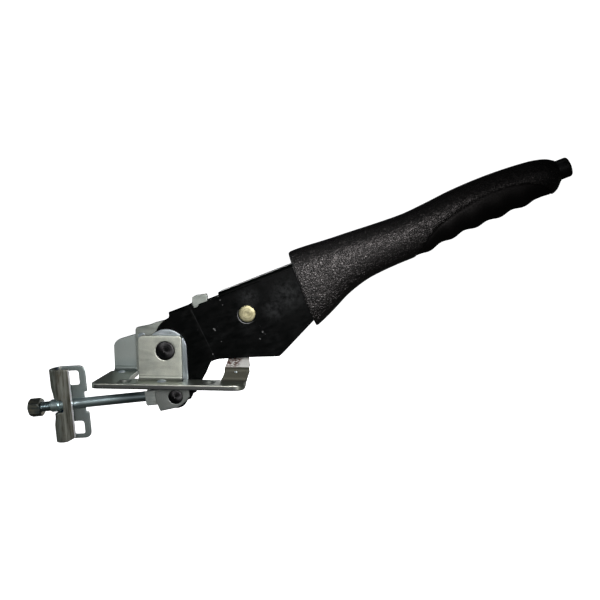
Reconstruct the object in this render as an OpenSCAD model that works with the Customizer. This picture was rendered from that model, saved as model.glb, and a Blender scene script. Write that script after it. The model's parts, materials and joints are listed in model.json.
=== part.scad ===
// Hand brake lever for a car: a stamped bracket, a ratchet lever with a soft grip,
// and the pull rod with its cable equalizer. Millimetres, +Z up, +X towards the grip.
// The origin is the middle of the two bolt holes, on the underside of the bracket.

/* [Bracket] */
// sheet thickness of the bracket
plate_t = 4; // [3:0.5:5]
// left end of the base plate, measured from the pivot
plate_left = -54; // [-60:0.5:-45]
// right end of the base plate, measured from the pivot
plate_right = 64; // [60:0.5:75]
// front edge of the base plate, measured from the lever's middle
plate_front = -32; // [-40:0.5:-28]
// height of the pivot above the plate's underside
pivot_height = 26.5; // [24:0.5:30]
// diameter of the two bolt holes
bolt_hole_d = 8.5; // [6.5:0.5:10.5]
// distance between the two bolt holes
bolt_spacing = 64; // [50:1:70]
// outer face of each ear, measured from the lever's middle
ear_y = 17.5; // [17:0.5:20]

/* [Ratchet] */
// radius over the tooth crests
crest_r = 48; // [46:0.5:50]
// depth of a tooth gap
tooth_depth = 2.1; // [1.5:0.1:2.5]
// angle between two teeth
tooth_pitch = 4; // [3:0.5:5]
// number of tooth gaps
tooth_gaps = 10; // [6:1:10]
// thickness of the toothed plate and of the pawl
ratchet_t = 4; // [3:0.5:5]

/* [Lever] */
// rest angle of the lever above the horizontal
lever_angle = 21.5; // [15:0.5:30]
// outside width of the lever channel
channel_w = 21.8; // [20:0.2:24]
// sheet thickness of the lever channel and of the arm plates
channel_t = 2; // [1.5:0.25:3]
// outside radius of the tube in the grip
tube_r = 9.6; // [9:0.1:10]
// wall of that tube
tube_wall = 1.4; // [1:0.1:2]
// height of the tube's axis above the lever's axis
tube_v = 19; // [17:0.5:20]
// radius of the push button
button_r = 7.2; // [6:0.1:7.5]

/* [Pins] */
// radius of the pivot pin
pivot_r = 7.25; // [6:0.25:8]
// head radius of the brass pawl pin
pawl_head_r = 6.4; // [5:0.1:8]
// radius of the clevis pin
clevis_pin_r = 5.5; // [4:0.25:6]
// radial clearance of every running fit
fit = 0.06; // [0.02:0.01:0.1]

/* [Pull rod] */
// radius of the pull rod
rod_r = 4; // [3:0.5:5]
// tilt of the pull rod
rod_tilt = 6.9; // [0:0.1:10]
// length of the rod beyond the clevis pin
rod_reach = 122; // [115:1:150]
// distance from the clevis pin to the adjuster nut
nut_at = 110.8; // [109:0.1:118]
// width of the adjuster nut across its flats
nut_flats = 13; // [10:1:14]
// length of the adjuster nut
nut_length = 9.5; // [6:0.5:12]
// tilt of the equalizer
equalizer_tilt = 3.9; // [0:0.1:8]

/* [Hidden] */
$fn = 64;
bolt_y = -23;
bolt_mid_x = 2;
pivot_at = [-bolt_mid_x, -bolt_y, pivot_height];
plate_low = -pivot_height;
plate_top = plate_low + plate_t;
bend_in = 3;
bend_out = bend_in + plate_t;
ear_in = ear_y - plate_t;
bend_z = plate_top + bend_in;
lap = 0.3;
wall_out = channel_w / 2;
wall_in = wall_out - channel_t;
arm_out = wall_out + channel_t;
web_v = 26.2;
web_low = web_v - channel_t;
web_from = 52.6;
web_to = 115;
tube_in = tube_r - tube_wall;
tube_from = 117;
tube_to = 313;
grip_mouth = 112.8;
grip_end = 317.2;
cavity_to = 152;
pawl_at = [61.9, 28.2];
pawl_shank_r = 4.5;
link_u = 67.9;
link_r = 2;
link_slot = 4.5;
push_rod_r = 2.5;
clevis_at = [6.1, -36.8];
rivet_a = [-21.5, 8];
rivet_b = [-18, -14];
seat_at = 101;
half_t = ratchet_t / 2;
first_gap = 13.4;
foot_in = 2.7;
slant = 3;

// ---- frames ----

// moves the pivot's own frame to its place above the bolt holes
module at_pivot() {
  translate(pivot_at) children();
}

// frame of the resting lever: X along the lever, Z square to it
module on_lever() {
  at_pivot() rotate([0, -lever_angle, 0]) children();
}

// frame of the pull rod: origin at the clevis pin, X along the rod
module on_rod() {
  at_pivot() translate([clevis_at[0], 0, clevis_at[1]]) rotate([0, -rod_tilt, 0]) children();
}

// frame of the equalizer: origin where the rod goes through it
module on_equalizer() {
  on_rod() translate([-93.3, 0, 0]) rotate([0, rod_tilt - equalizer_tilt, 0]) children();
}

// stands a flat X-Z outline up between two Y values
module slab_y(y0, y1) {
  translate([0, y1, 0]) rotate([90, 0, 0]) linear_extrude(y1 - y0) children();
}

// draws a Y-Z outline out between two X values
module slab_x(x0, x1) {
  translate([x0, 0, 0]) rotate([90, 0, 90]) linear_extrude(x1 - x0) children();
}

// round bar along Y
module bar_y(r, y0, y1) {
  translate([0, y1, 0]) rotate([90, 0, 0]) cylinder(r = r, h = y1 - y0);
}

// round bar along X
module bar_x(r, x0, x1) {
  translate([x0, 0, 0]) rotate([0, 90, 0]) cylinder(r = r, h = x1 - x0);
}

// cone along X
module cone_x(ra, rb, x0, x1) {
  translate([x0, 0, 0]) rotate([0, 90, 0]) cylinder(r1 = ra, r2 = rb, h = x1 - x0);
}

// a point of the lever's frame in the pivot's frame
function from_lever(u, v) = [
  u * cos(lever_angle) - v * sin(lever_angle),
  u * sin(lever_angle) + v * cos(lever_angle)
];

// a point on a circle about the pivot
function polar(r, a) = [r * cos(a), r * sin(a)];

// flat rectangle between two corners
module box2(x0, y0, x1, y1) {
  translate([x0, y0]) square([x1 - x0, y1 - y0]);
}

// flat rectangle with four round corners
module round_box2(x0, y0, x1, y1, r) {
  box2(x0 + r, y0, x1 - r, y1);
  box2(x0, y0 + r, x1, y1 - r);
  for (x = [x0 + r, x1 - r]) {
    for (y = [y0 + r, y1 - r]) {
      translate([x, y]) circle(r);
    }
  }
}

// ---- bracket ----

// plan of the base plate: a front strip, and a bridge to the rear ear at the left
module plate_plan() {
  round_box2(plate_left, plate_front, plate_right, -ear_in - bend_out, 4);
  box2(plate_left + 12, -ear_in - bend_out - 4.5, plate_right, -ear_in);
  round_box2(plate_left, plate_front, -29.3, ear_in - bend_in, 3);
  box2(plate_left, -ear_in - bend_out, -29.3, ear_in - bend_in + lap);
}

// quarter bend from the plate up into an ear whose outer face is at y
module bend_yz(y) {
  translate([y - bend_in, bend_z]) {
    intersection() {
      difference() {
        circle(bend_out);
        circle(bend_in);
      }
      translate([0, -bend_out]) square(bend_out);
    }
  }
}

// outline of the front ear
module front_ear_outline() {
  top = 11.4;
  round_box2(-20.8, -12, 4, top, 4.5);
  round_box2(-4, -12, 12.7, top, 2);
  box2(-20.8, bend_z - lap, 12.7, -5);
}

// outline of the rear ear, which leans over to the pivot
module rear_ear_outline() {
  polygon([
    [-48.8, bend_z - lap], [-48.8, -2.6], [-48, -0.4], [-46.4, 1.4], [-44.3, 2.6], [-30.5, 6.9],
    [-12, 10.6], [0, 0], [-9, -bend_in - 14], [-29.3, bend_z + 1], [-29.3, bend_z - lap]
  ]);
  circle(15.5);
}

// outline of the stop that is folded up at the right, in the Y-Z plane
module stop_outline() {
  fold = [-ear_in, -15.4];
  rise = 9.6;
  box2(-ear_y, bend_z - lap, -ear_in, fold[1] + lap);
  translate(fold) {
    intersection() {
      circle(plate_t);
      translate([-plate_t, 0]) square([plate_t, plate_t]);
    }
    rotate(rise) square([26.5, plate_t]);
    polygon([[0, 0], [0, plate_t], [-plate_t * sin(rise), plate_t * cos(rise)]]);
  }
  bend_yz(-ear_y);
}

module base_bracket() {
  color([0.66, 0.67, 0.66]) at_pivot() {
    difference() {
      union() {
        difference() {
          translate([0, 0, plate_low]) linear_extrude(plate_t) plate_plan();
          // relief in front of the ear and of the stop, where the sheet bends up
          translate([-20.8, lap - ear_in - bend_out, plate_low - 1]) cube([33.5, 20, plate_t + 2]);
          translate([42.5, lap - ear_in - bend_out, plate_low - 1]) cube([30, 20, plate_t + 2]);
        }
        slab_x(-20.8, 12.7) bend_yz(-ear_y);
        slab_y(-ear_y, -ear_in) front_ear_outline();
        slab_x(-48.8, -29.3) bend_yz(ear_in);
        slab_y(ear_in, ear_y) rear_ear_outline();
        slab_x(45, plate_right) stop_outline();
        slab_x(42.5, 45) bend_yz(-ear_y);
      }
      bar_y(pivot_r, -ear_y - 1, ear_y + 1);
      for (p = [rivet_a, rivet_b]) {
        translate([p[0], 0, p[1]]) bar_y(3, ear_in - 1, ear_y + 1);
      }
      for (side = [-1, 1]) {
        translate([bolt_mid_x + side * bolt_spacing / 2, bolt_y, plate_low - 1]) {
          cylinder(d = bolt_hole_d, h = plate_t + 2);
        }
      }
      // round the two front corners of the plate
      corner_cut(plate_right - foot_in, -1, 9);
      corner_cut(plate_left, 1, 5);
      stop_side_cuts();
      // the left end of the plate slants inward to the rear
      translate([0, 0, plate_low - 1]) linear_extrude(plate_t + 2) polygon([
        [plate_left - 1, plate_front + 6], [plate_left, plate_front + 6],
        [plate_left + slant, ear_in], [plate_left - 1, ear_in]
      ]);
    }
  }
}

// trims the right side of the stop: its foot is narrower, and its shelf tapers to the rear
module stop_side_cuts() {
  beyond = plate_right + 2;
  slab_y(plate_front - 1, ear_y) polygon([
    [plate_right - foot_in, plate_low - 1], [beyond, plate_low - 1], [beyond, -13],
    [plate_right, -14], [plate_right - foot_in, -22.7]
  ]);
  translate([0, 0, -16]) linear_extrude(20) polygon([
    [plate_right, -14], [beyond, -14], [beyond, ear_y], [plate_right - 4.2, ear_y]
  ]);
}

// takes a front corner of the base plate off to a round of radius r
module corner_cut(x, way, r) {
  translate([x + way * r, plate_front + r, plate_low - 1]) {
    difference() {
      translate([way < 0 ? 0 : -r - 2, -r - 2, 0]) cube([r + 2, r + 2, plate_t + 2]);
      translate([0, 0, -1]) cylinder(r = r, h = plate_t + 4);
    }
  }
}

// ---- ratchet ----

// one tooth gap of the sector: a steep wall, a root, and a ramp to the next crest
function gap_points(k) = let (a = first_gap + k * tooth_pitch, root = crest_r - tooth_depth) [
  polar(crest_r, a - 1.5), polar(root, a - 1.35), polar(root, a - 0.25),
  polar(crest_r, a + 2.3)
];

module sector_outline() {
  difference() {
    polygon(concat(
      [[-26.6, -19], [-10, -19], [2, -13], [13, -13], polar(crest_r - tooth_depth, 3.5)],
      // the first gap is open on its lower side, where the finger lies when released
      [polar(crest_r - tooth_depth, first_gap - 0.25), polar(crest_r, first_gap + 2.3)],
      [for (k = [1 : tooth_gaps - 1]) each gap_points(k)],
      [polar(crest_r, 52.2), [30.1, 39.8], [28.9, 41.6], [20.4, 40.2], [18.3, 38.9],
       [18, 31.5], [12, 25.6], [4, 22.6], [-1.3, 21.5], [-11.5, 18.7], [-16.3, 16.8],
       [-23.4, 15.4], [-25.9, 14.8], [-26.6, 13.4]]
    ));
    circle(pivot_r);
    for (p = [rivet_a, rivet_b]) {
      translate(p) circle(3);
    }
  }
}

module ratchet_sector() {
  color([0.70, 0.71, 0.70]) at_pivot() slab_y(-half_t, half_t) sector_outline();
}

module sector_rivets() {
  color([0.62, 0.63, 0.62]) at_pivot() {
    for (p = [rivet_a, rivet_b]) {
      translate([p[0], 0, p[1]]) {
        bar_y(3, -half_t, ear_y + 1.6);
        bar_y(4.2, half_t, ear_in);
        bar_y(4.6, ear_y, ear_y + 1.6);
      }
    }
  }
}

module pivot_pin() {
  color([0.16, 0.16, 0.17]) at_pivot() {
    bar_y(pivot_r, -ear_y - 0.2, ear_y + 0.6);
    translate([0, -ear_y - 0.2, 0]) rotate([90, 0, 0]) {
      cylinder(r1 = pivot_r, r2 = pivot_r - 0.8, h = 0.8);
    }
    bar_y(pivot_r - 1.1, ear_y + 0.6, ear_y + 1.8);
    bar_y(pivot_r, ear_y + 1.8, ear_y + 3.4);
  }
}

// open spring clip for a groove of radius r, between two Y values
module open_clip(r, y0, y1) {
  slab_y(y0, y1) {
    difference() {
      circle(r + 3.2);
      circle(r);
      box2(-r * 0.55, -r - 5, r * 0.55, 0);
    }
  }
}

module pivot_pin_clip() {
  color([0.30, 0.30, 0.31]) at_pivot() {
    open_clip(pivot_r - 1.1, ear_y + 0.7, ear_y + 1.7);
  }
}

// ---- lever ----

// side wall of the lever, pivot frame
module wall_outline() {
  difference() {
    union() {
      polygon(concat(
        [[0, 0], [-11.2, 11], [-7.8, 14.4], [-6.6, 17.2], [-4.6, 19.8], [-1.6, 22.4],
         [1.7, 24.4], [2.1, 26], [1.6, 28.2]],
        [from_lever(31.1, 25.5), from_lever(31.4, 21.8), from_lever(34.5, 21.8),
         from_lever(36, 23.3), from_lever(50, 23.6), from_lever(52, 23.1),
         from_lever(cavity_to - 2, 23.1),
         from_lever(cavity_to - 2, 3), from_lever(140, -2), from_lever(128, -9.6),
         from_lever(112.5, -19.3), from_lever(81.5, -34.3), from_lever(79, -35.5)],
        [[84.5, -4.6], [62.1, -5.5], [39.9, -7.3], [37.2, -7.9], [34.3, -9.1], [31.8, -11.3],
         [30, -13.9], [28.3, -17.4], [26.2, -22.3], [21.1, -31.4], [17.6, -38.9],
         clevis_at, [-3.2, -36.8], [-8, -24]]
      ));
      circle(15.5);
      translate(clevis_at) circle(9.4);
      polygon([[-15.4, -2], [0, 0], [6, -28], [-4.6, -31]]);
      polygon([clevis_at, [15.2, -39.5], [17.8, -38.4], [17.5, -30]]);
    }
    circle(pivot_r + 2);
    translate(pawl_at) circle(pawl_shank_r);
    translate(clevis_at) circle(clevis_pin_r);
  }
}

// closed top of the lever with its two rounded bends, in the lever's frame
module lever_web() {
  bend = 3;
  deep = bend + 1.5;
  long = web_to - web_from;
  difference() {
    translate([web_from, -wall_out, web_v - deep]) cube([long, channel_w, deep]);
    translate([web_from - 1, -wall_in, web_low - deep]) cube([long + 2, 2 * wall_in, deep]);
    for (side = [-1, 1]) {
      translate([0, side * (wall_out - bend), web_v - bend]) difference() {
        translate([web_from - 1, side < 0 ? -bend - 1 : 0, 0]) cube([long + 2, bend + 1, bend + 1]);
        bar_x(bend, web_from - 2, web_to + 2);
      }
    }
  }
}

module lever_channel() {
  color([0.07, 0.07, 0.075]) difference() {
    union() {
      at_pivot() slab_y(-wall_out, -wall_in) wall_outline();
      at_pivot() slab_y(wall_in, wall_out) wall_outline();
      on_lever() lever_web();
    }
    on_lever() translate([0, 0, tube_v]) bar_x(tube_r, tube_from - 0.5, cavity_to + 1);
  }
}

// plated arm plate that stiffens the lever from the pivot to the clevis pin
module arm_plate(y0, y1) {
  difference() {
    union() {
      bar_y(15.7, y0, y1);
      slab_y(y0, y1) polygon([
        [-15.5, -3], [0, 4], [15.5, 3], [16.3, -19.3], [16.6, -30], [17.2, -36.2],
        [14.3, -40], [10.8, -43], [7, -45.3], [2.4, -46.4], [-5.2, -48.2], [-6.3, -47.6],
        [-8.6, -41.4], [-9.6, -36], [-10, -24]
      ]);
    }
    bar_y(pivot_r + 2, y0 - 1, y1 + 1);
    translate([clevis_at[0], 0, clevis_at[1]]) bar_y(clevis_pin_r, y0 - 1, y1 + 1);
  }
}

module arm_plate_front() {
  color([0.72, 0.74, 0.75]) at_pivot() arm_plate(-arm_out, -wall_out);
}

module arm_plate_rear() {
  color([0.72, 0.74, 0.75]) at_pivot() arm_plate(wall_out, arm_out);
}

module pivot_bushes() {
  color([0.62, 0.50, 0.30]) at_pivot() {
    for (side = [-1, 1]) {
      difference() {
        union() {
          bar_y(pivot_r + 2, side < 0 ? -arm_out : wall_in, side < 0 ? -wall_in : arm_out);
          bar_y(pivot_r + 3.5, side < 0 ? -wall_in : wall_in - 1, side < 0 ? 1 - wall_in : wall_in);
        }
        bar_y(pivot_r + fit, -arm_out - 1, arm_out + 1);
      }
    }
  }
}

module lever_tube() {
  color([0.20, 0.20, 0.21]) on_lever() translate([0, 0, tube_v]) difference() {
    bar_x(tube_r, tube_from, tube_to);
    bar_x(tube_in, tube_from - 1, tube_to + 1);
  }
}

// grip outline: distance along the lever, top, bottom, half width
GRIP = [
  [112.8, 34.9, -25.0, 15.6], [120, 35.0, -22.2, 15.9], [130, 34.4, -17.6, 15.9],
  [144, 33.4, -10.8, 15.7], [160, 32.6, -5.8, 15.5], [174, 31.8, -3.9, 15.4],
  [188, 31.1, -3.1, 15.3], [203, 30.8, -2.6, 15.4], [221, 32.2, -0.1, 15.7],
  [240, 34.1, 2.1, 16.0], [261, 34.9, 2.9, 16.1], [281, 34.5, 4.0, 15.8],
  [300, 33.0, 4.9, 14.9], [308, 31.4, 4.6, 13.8], [312.4, 29.9, 6.4, 12.2],
  [315.4, 28.2, 9.4, 10.4], [317.2, 26.9, 11.6, 9.0]
];
RING = 32;
// the finger waves under the grip
wave_from = 202.8;
wave_pitch = 18.6;
wave_to = wave_from + 5 * wave_pitch;
wave_depth = 2.2;

function table(u, c) = lookup(u, [for (row = GRIP) [row[0], row[c]]]);
function wave(u) = u > wave_from && u < wave_to
  ? wave_depth * (1 - cos(360 * (u - wave_from) / wave_pitch)) / 2 : 0;
function signed_power(x, p) = sign(x) * pow(abs(x), p);

// one closed ring of the grip's skin, rounder at the tip than at the mouth
function grip_ring(u) = let (
    top = table(u, 1), low = table(u, 2) - wave(u), half = table(u, 3),
    mid = (top + low) / 2, tall = (top - low) / 2,
    p = 2 / lookup(u, [[112, 3.2], [160, 2.5], [300, 2.3], [317, 2]])
  ) [for (i = [0 : RING - 1]) let (a = 360 * i / RING)
    [u, half * signed_power(cos(a), p), mid + tall * signed_power(sin(a), p)]];

// round ring about the tube's axis
function bore_ring(u, r) = [for (i = [0 : RING - 1]) let (a = 360 * i / RING)
  [u, r * cos(a), tube_v + r * sin(a)]];

// ring of the pocket that takes the lever channel
function pocket_ring(u, top, low, half) = [for (i = [0 : RING - 1]) let (a = 360 * i / RING)
  [u, half * signed_power(cos(a), 0.3), (top + low) / 2
    + (top - low) / 2 * signed_power(sin(a), 0.3)]];

function grip_stations() = concat([112.8, 120, 130, 138, 146, 156, 166, 178, 190, wave_from],
  [for (k = [1 : 30]) wave_from + k * wave_pitch / 6], [300, 304, 308, 311, 313.5, 315.4, 317.2]);

module grip() {
  rings = concat(
    [for (u = grip_stations()) grip_ring(u)],
    [bore_ring(grip_end, button_r + 0.3), bore_ring(313.5, button_r + 0.3),
     bore_ring(313.5, tube_r + 0.1), bore_ring(cavity_to, tube_r + 0.1),
     pocket_ring(cavity_to, 29.2, -1.2, 12.6), pocket_ring(134, 29.8, -9.6, 12.8),
     pocket_ring(grip_mouth, 30.4, -21.4, 13)]
  );
  n = len(rings);
  points = [for (r = rings) each r];
  faces = [for (k = [0 : n - 1]) for (i = [0 : RING - 1]) let (
      j = (i + 1) % RING, m = (k + 1) % n) each [
      [k * RING + i, m * RING + j, k * RING + j],
      [k * RING + i, m * RING + i, m * RING + j]]];
  color([0.06, 0.06, 0.06]) on_lever() polyhedron(points = points, faces = faces);
}

module button_guide() {
  color([0.12, 0.12, 0.12]) on_lever() translate([0, 0, tube_v]) difference() {
    bar_x(tube_in, 301, 312.8);
    bar_x(button_r + fit, 300, 314);
  }
}

module rod_guide() {
  color([0.85, 0.84, 0.78]) on_lever() difference() {
    translate([97, -wall_in, 12]) cube([8, 2 * wall_in, web_low - 12]);
    translate([0, 0, tube_v]) bar_x(push_rod_r + fit, 96, 106);
  }
}

module spring_seat() {
  color([0.45, 0.45, 0.45]) on_lever() translate([0, 0, tube_v]) difference() {
    bar_x(tube_in, 205, 208);
    bar_x(push_rod_r + fit, 204, 209);
  }
}

module pawl_pin() {
  color([0.80, 0.68, 0.36]) at_pivot() translate([pawl_at[0], 0, pawl_at[1]]) {
    bar_y(pawl_head_r, -wall_out - 1.6, -wall_out);
    bar_y(pawl_shank_r, -wall_out, wall_out + 0.4);
    bar_y(pawl_shank_r - 0.9, wall_out + 0.4, wall_out + 1.4);
    bar_y(pawl_shank_r, wall_out + 1.4, wall_out + 2.6);
  }
}

module pawl_pin_clip() {
  color([0.30, 0.30, 0.31]) at_pivot() translate([pawl_at[0], 0, pawl_at[1]]) {
    open_clip(pawl_shank_r - 0.9, wall_out + 0.45, wall_out + 1.35);
  }
}

module clevis_pin() {
  color([0.10, 0.10, 0.11]) at_pivot() translate([clevis_at[0], 0, clevis_at[1]]) {
    bar_y(clevis_pin_r, -arm_out - 0.25, arm_out + 0.3);
    bar_y(clevis_pin_r - 0.9, arm_out + 0.3, arm_out + 1.4);
    bar_y(clevis_pin_r, arm_out + 1.4, arm_out + 2.6);
  }
}

module clevis_pin_clip() {
  color([0.30, 0.30, 0.31]) at_pivot() translate([clevis_at[0], 0, clevis_at[1]]) {
    open_clip(clevis_pin_r - 0.9, arm_out + 0.4, arm_out + 1.3);
  }
}

// ---- pawl and button ----

// finger that drops between the teeth, about the pawl pin
module pawl_finger() {
  polygon([
    [-14.28, -20.29], [-14.5, -19.69], [-13.18, -18.12], [-10.7, -16.26], [-8.8, 1],
    [0, 0], [5.5, -7], [-7.14, -23.98], [-10.36, -21.27], [-12.07, -19.63]
  ]);
}

// arm that the push rod moves, about the pawl pin
module pawl_arm() {
  polygon([
    from_lever(-6.4, 3), from_lever(-4.8, 18.4), from_lever(4.8, 18.4), from_lever(6.4, 3)
  ]);
}

module pawl() {
  color([0.36, 0.36, 0.37]) at_pivot() translate([pawl_at[0], 0, pawl_at[1]]) difference() {
    union() {
      bar_y(9, -half_t, half_t);
      slab_y(-half_t, half_t) pawl_finger();
      slab_y(-half_t, half_t) pawl_arm();
    }
    bar_y(pawl_shank_r + fit, -half_t - 1, half_t + 1);
    // slot for the link pin
    rotate([0, -lever_angle, 0]) {
      translate([-link_slot / 2, -half_t - 1, 13.6]) cube([link_slot, ratchet_t + 2, 8]);
      translate([0, 0, 13.6]) bar_y(link_slot / 2, -half_t - 1, half_t + 1);
    }
  }
}

module push_rod() {
  color([0.50, 0.50, 0.50]) on_lever() translate([0, 0, tube_v]) {
    bar_x(push_rod_r, link_u + 9, 318);
    difference() {
      translate([link_u - 4, -5, -4]) cube([15, 10, 8]);
      translate([link_u - 5, -half_t - 0.5, -5]) cube([13, ratchet_t + 1, 10]);
      translate([link_u, 0, 0]) bar_y(link_r, -6, 6);
    }
  }
}

module link_pin() {
  color([0.70, 0.70, 0.70]) on_lever() translate([link_u, 0, tube_v]) bar_y(link_r, -5.6, 5.6);
}

module rod_collar() {
  color([0.45, 0.45, 0.45]) on_lever() translate([0, 0, tube_v]) difference() {
    bar_x(7.4, 248, 251);
    bar_x(push_rod_r, 247, 252);
  }
}

module button() {
  color([0.05, 0.05, 0.05]) on_lever() translate([0, 0, tube_v]) difference() {
    union() {
      bar_x(tube_in - 0.3, 295, 298.5);
      bar_x(button_r, 298.5, 325.4);
      cone_x(button_r, button_r - 1.1, 325.4, 326.9);
      cone_x(button_r - 1.1, button_r - 3.4, 326.9, 327.6);
    }
    bar_x(push_rod_r, 294, 318);
  }
}

// one ring of the spring wire's skin
function wire_ring(k, steps, u0, u1, coils, mean, wire) = let (
    a = 360 * coils * k / steps, u = u0 + (u1 - u0) * k / steps)
  [for (i = [0 : 5]) let (b = 60 * i) [
    u + wire * sin(b), (mean + wire * cos(b)) * cos(a), (mean + wire * cos(b)) * sin(a)]];

module return_spring() {
  steps = 144;
  skin = [for (k = [0 : steps]) each wire_ring(k, steps, 208.9, 247.1, 9, 5.6, 0.7)];
  sides = [for (k = [0 : steps - 1]) for (i = [0 : 5]) let (j = (i + 1) % 6) each [
    [k * 6 + i, k * 6 + j, k * 6 + 6 + j], [k * 6 + i, k * 6 + 6 + j, k * 6 + 6 + i]]];
  last = steps * 6;
  ends = [[5, 4, 3, 2, 1, 0], [last, last + 1, last + 2, last + 3, last + 4, last + 5]];
  color([0.55, 0.55, 0.56]) on_lever() translate([0, 0, tube_v]) {
    polyhedron(points = skin, faces = concat(sides, ends));
  }
}

// ---- pull rod and equalizer ----

module clevis() {
  color([0.70, 0.71, 0.70]) on_rod() difference() {
    union() {
      slab_y(-8.6, 8.6) round_box2(-24.6, -5.7, 0, 5.7, 1.6);
      bar_y(7.6, -8.6, 8.6);
    }
    // room inside the fork
    translate([-20.6, -6.6, -10]) cube([40, 13.2, 20]);
    bar_y(clevis_pin_r + fit, -10, 10);
    bar_x(rod_r, -30, -15);
  }
}

module pull_rod() {
  color([0.56, 0.62, 0.68]) on_rod() {
    bar_x(rod_r, -rod_reach + 1, -9);
    cone_x(rod_r - 1, rod_r, -rod_reach, -rod_reach + 1);
  }
}

// six-sided nut with a round bore, from x0 to x1
module hex_nut(flats, x0, x1, bore) {
  difference() {
    translate([x0, 0, 0]) rotate([0, 90, 0]) intersection() {
      cylinder(r = flats / sqrt(3), h = x1 - x0, $fn = 6);
      union() {
        cylinder(r1 = flats / 2, r2 = flats / sqrt(3) + 0.3, h = 1.4);
        translate([0, 0, 1.4]) cylinder(r = flats / sqrt(3) + 0.3, h = x1 - x0 - 2.8);
        translate([0, 0, x1 - x0 - 1.4]) {
          cylinder(r1 = flats / sqrt(3) + 0.3, r2 = flats / 2, h = 1.4);
        }
      }
    }
    bar_x(bore, x0 - 1, x1 + 1);
  }
}

module clevis_nut() {
  color([0.45, 0.47, 0.45]) on_rod() hex_nut(12.8, -20.4, -12.4, rod_r);
}

module seat_sleeve() {
  color([0.60, 0.64, 0.68]) on_rod() difference() {
    union() {
      bar_x(5, -seat_at - 1.6, -seat_at + 4.6);
      cone_x(4.4, 5, -seat_at - 2.4, -seat_at - 1.6);
    }
    bar_x(rod_r + fit, -seat_at - 4, -seat_at + 6);
  }
}

// U-bent bar with two eyes for the brake cables
module equalizer_bar() {
  sheet = 2.4;
  out = 8;
  color([0.66, 0.68, 0.66]) on_equalizer() difference() {
    union() {
      // bent web
      translate([0, 0, -28.8]) linear_extrude(58.3) intersection() {
        difference() {
          circle(out);
          circle(out - sheet);
        }
        translate([-out - 1, -out - 1]) square([out + 1, 2 * out + 2]);
      }
      // near flange
      slab_y(-out, -out + sheet) polygon([
        [0, -28.8], [3, -28.4], [9.5, -25.2], [9.5, 28.6], [8.6, 29.5], [0, 29.5]
      ]);
      // far flange with the eyes
      slab_y(out - sheet, out) {
        box2(0, -28.8, 15.2, 29.5);
        round_box2(3, 8.2, 17.6, 29.5, 4);
        round_box2(3, -30, 17.6, -8.4, 4);
        box2(0, -30, 8, -20);
      }
    }
    // eyes
    slab_y(out - sheet - 1, out + 1) {
      round_box2(3.6, 13.8, 12.5, 25.6, 2.4);
      round_box2(3.6, -26.4, 12.8, -15.6, 2.4);
    }
    // round hole for the rod, open towards the near side
    bar_x(5.9, -out - 1, 0);
    slab_y(-out - 1, 0) {
      translate([-2.6, 0]) circle(4.9);
      box2(-out - 1, -4.9, -2.6, 4.9);
    }
  }
}

module adjuster_nut() {
  color([0.36, 0.38, 0.36]) on_rod() {
    hex_nut(nut_flats, -nut_at - nut_length, -nut_at, rod_r + fit);
  }
}

base_bracket();
ratchet_sector();
sector_rivets();
pivot_pin();
pivot_pin_clip();
lever_channel();
arm_plate_front();
arm_plate_rear();
pivot_bushes();
lever_tube();
grip();
button_guide();
rod_guide();
spring_seat();
pawl_pin();
pawl_pin_clip();
clevis_pin();
clevis_pin_clip();
pawl();
push_rod();
link_pin();
rod_collar();
button();
return_spring();
clevis();
pull_rod();
clevis_nut();
seat_sleeve();
equalizer_bar();
adjuster_nut();
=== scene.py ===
import json
import math

import bmesh
import bpy
from mathutils import Matrix, Vector

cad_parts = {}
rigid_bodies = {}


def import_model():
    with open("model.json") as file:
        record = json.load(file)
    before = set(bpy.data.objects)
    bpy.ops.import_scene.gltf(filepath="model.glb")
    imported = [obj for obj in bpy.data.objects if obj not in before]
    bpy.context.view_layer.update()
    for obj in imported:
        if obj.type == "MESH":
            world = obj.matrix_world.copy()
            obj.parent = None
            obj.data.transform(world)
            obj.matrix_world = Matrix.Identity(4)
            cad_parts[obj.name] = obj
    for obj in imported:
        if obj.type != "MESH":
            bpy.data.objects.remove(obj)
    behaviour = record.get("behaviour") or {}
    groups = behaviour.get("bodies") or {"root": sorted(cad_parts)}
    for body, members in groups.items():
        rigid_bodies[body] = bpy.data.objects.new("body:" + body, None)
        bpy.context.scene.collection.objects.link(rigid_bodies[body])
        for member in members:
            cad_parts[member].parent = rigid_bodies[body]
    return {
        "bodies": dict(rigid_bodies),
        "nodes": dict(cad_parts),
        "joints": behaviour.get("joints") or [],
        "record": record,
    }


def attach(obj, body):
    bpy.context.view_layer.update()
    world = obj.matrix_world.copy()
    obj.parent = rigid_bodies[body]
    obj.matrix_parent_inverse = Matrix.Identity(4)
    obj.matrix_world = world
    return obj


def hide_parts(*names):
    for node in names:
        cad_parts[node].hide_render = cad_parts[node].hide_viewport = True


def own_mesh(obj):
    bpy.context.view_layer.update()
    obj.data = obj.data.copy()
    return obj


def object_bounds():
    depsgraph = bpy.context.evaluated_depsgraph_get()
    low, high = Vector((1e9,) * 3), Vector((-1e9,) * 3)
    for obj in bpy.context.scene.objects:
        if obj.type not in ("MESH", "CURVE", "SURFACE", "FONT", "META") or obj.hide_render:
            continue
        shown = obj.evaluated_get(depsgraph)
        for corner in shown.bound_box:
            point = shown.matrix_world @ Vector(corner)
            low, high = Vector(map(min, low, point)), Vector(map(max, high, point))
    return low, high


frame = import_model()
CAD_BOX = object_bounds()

MM = 0.001
NODES = frame["nodes"]

# -------- frames

PIVOT = Vector((-0.002, 0.023, 0.0265))
LEVER_ANGLE = math.radians(21.5)
ROD_TILT = math.radians(6.9)
EQUALIZER_TILT = math.radians(3.9)

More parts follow.
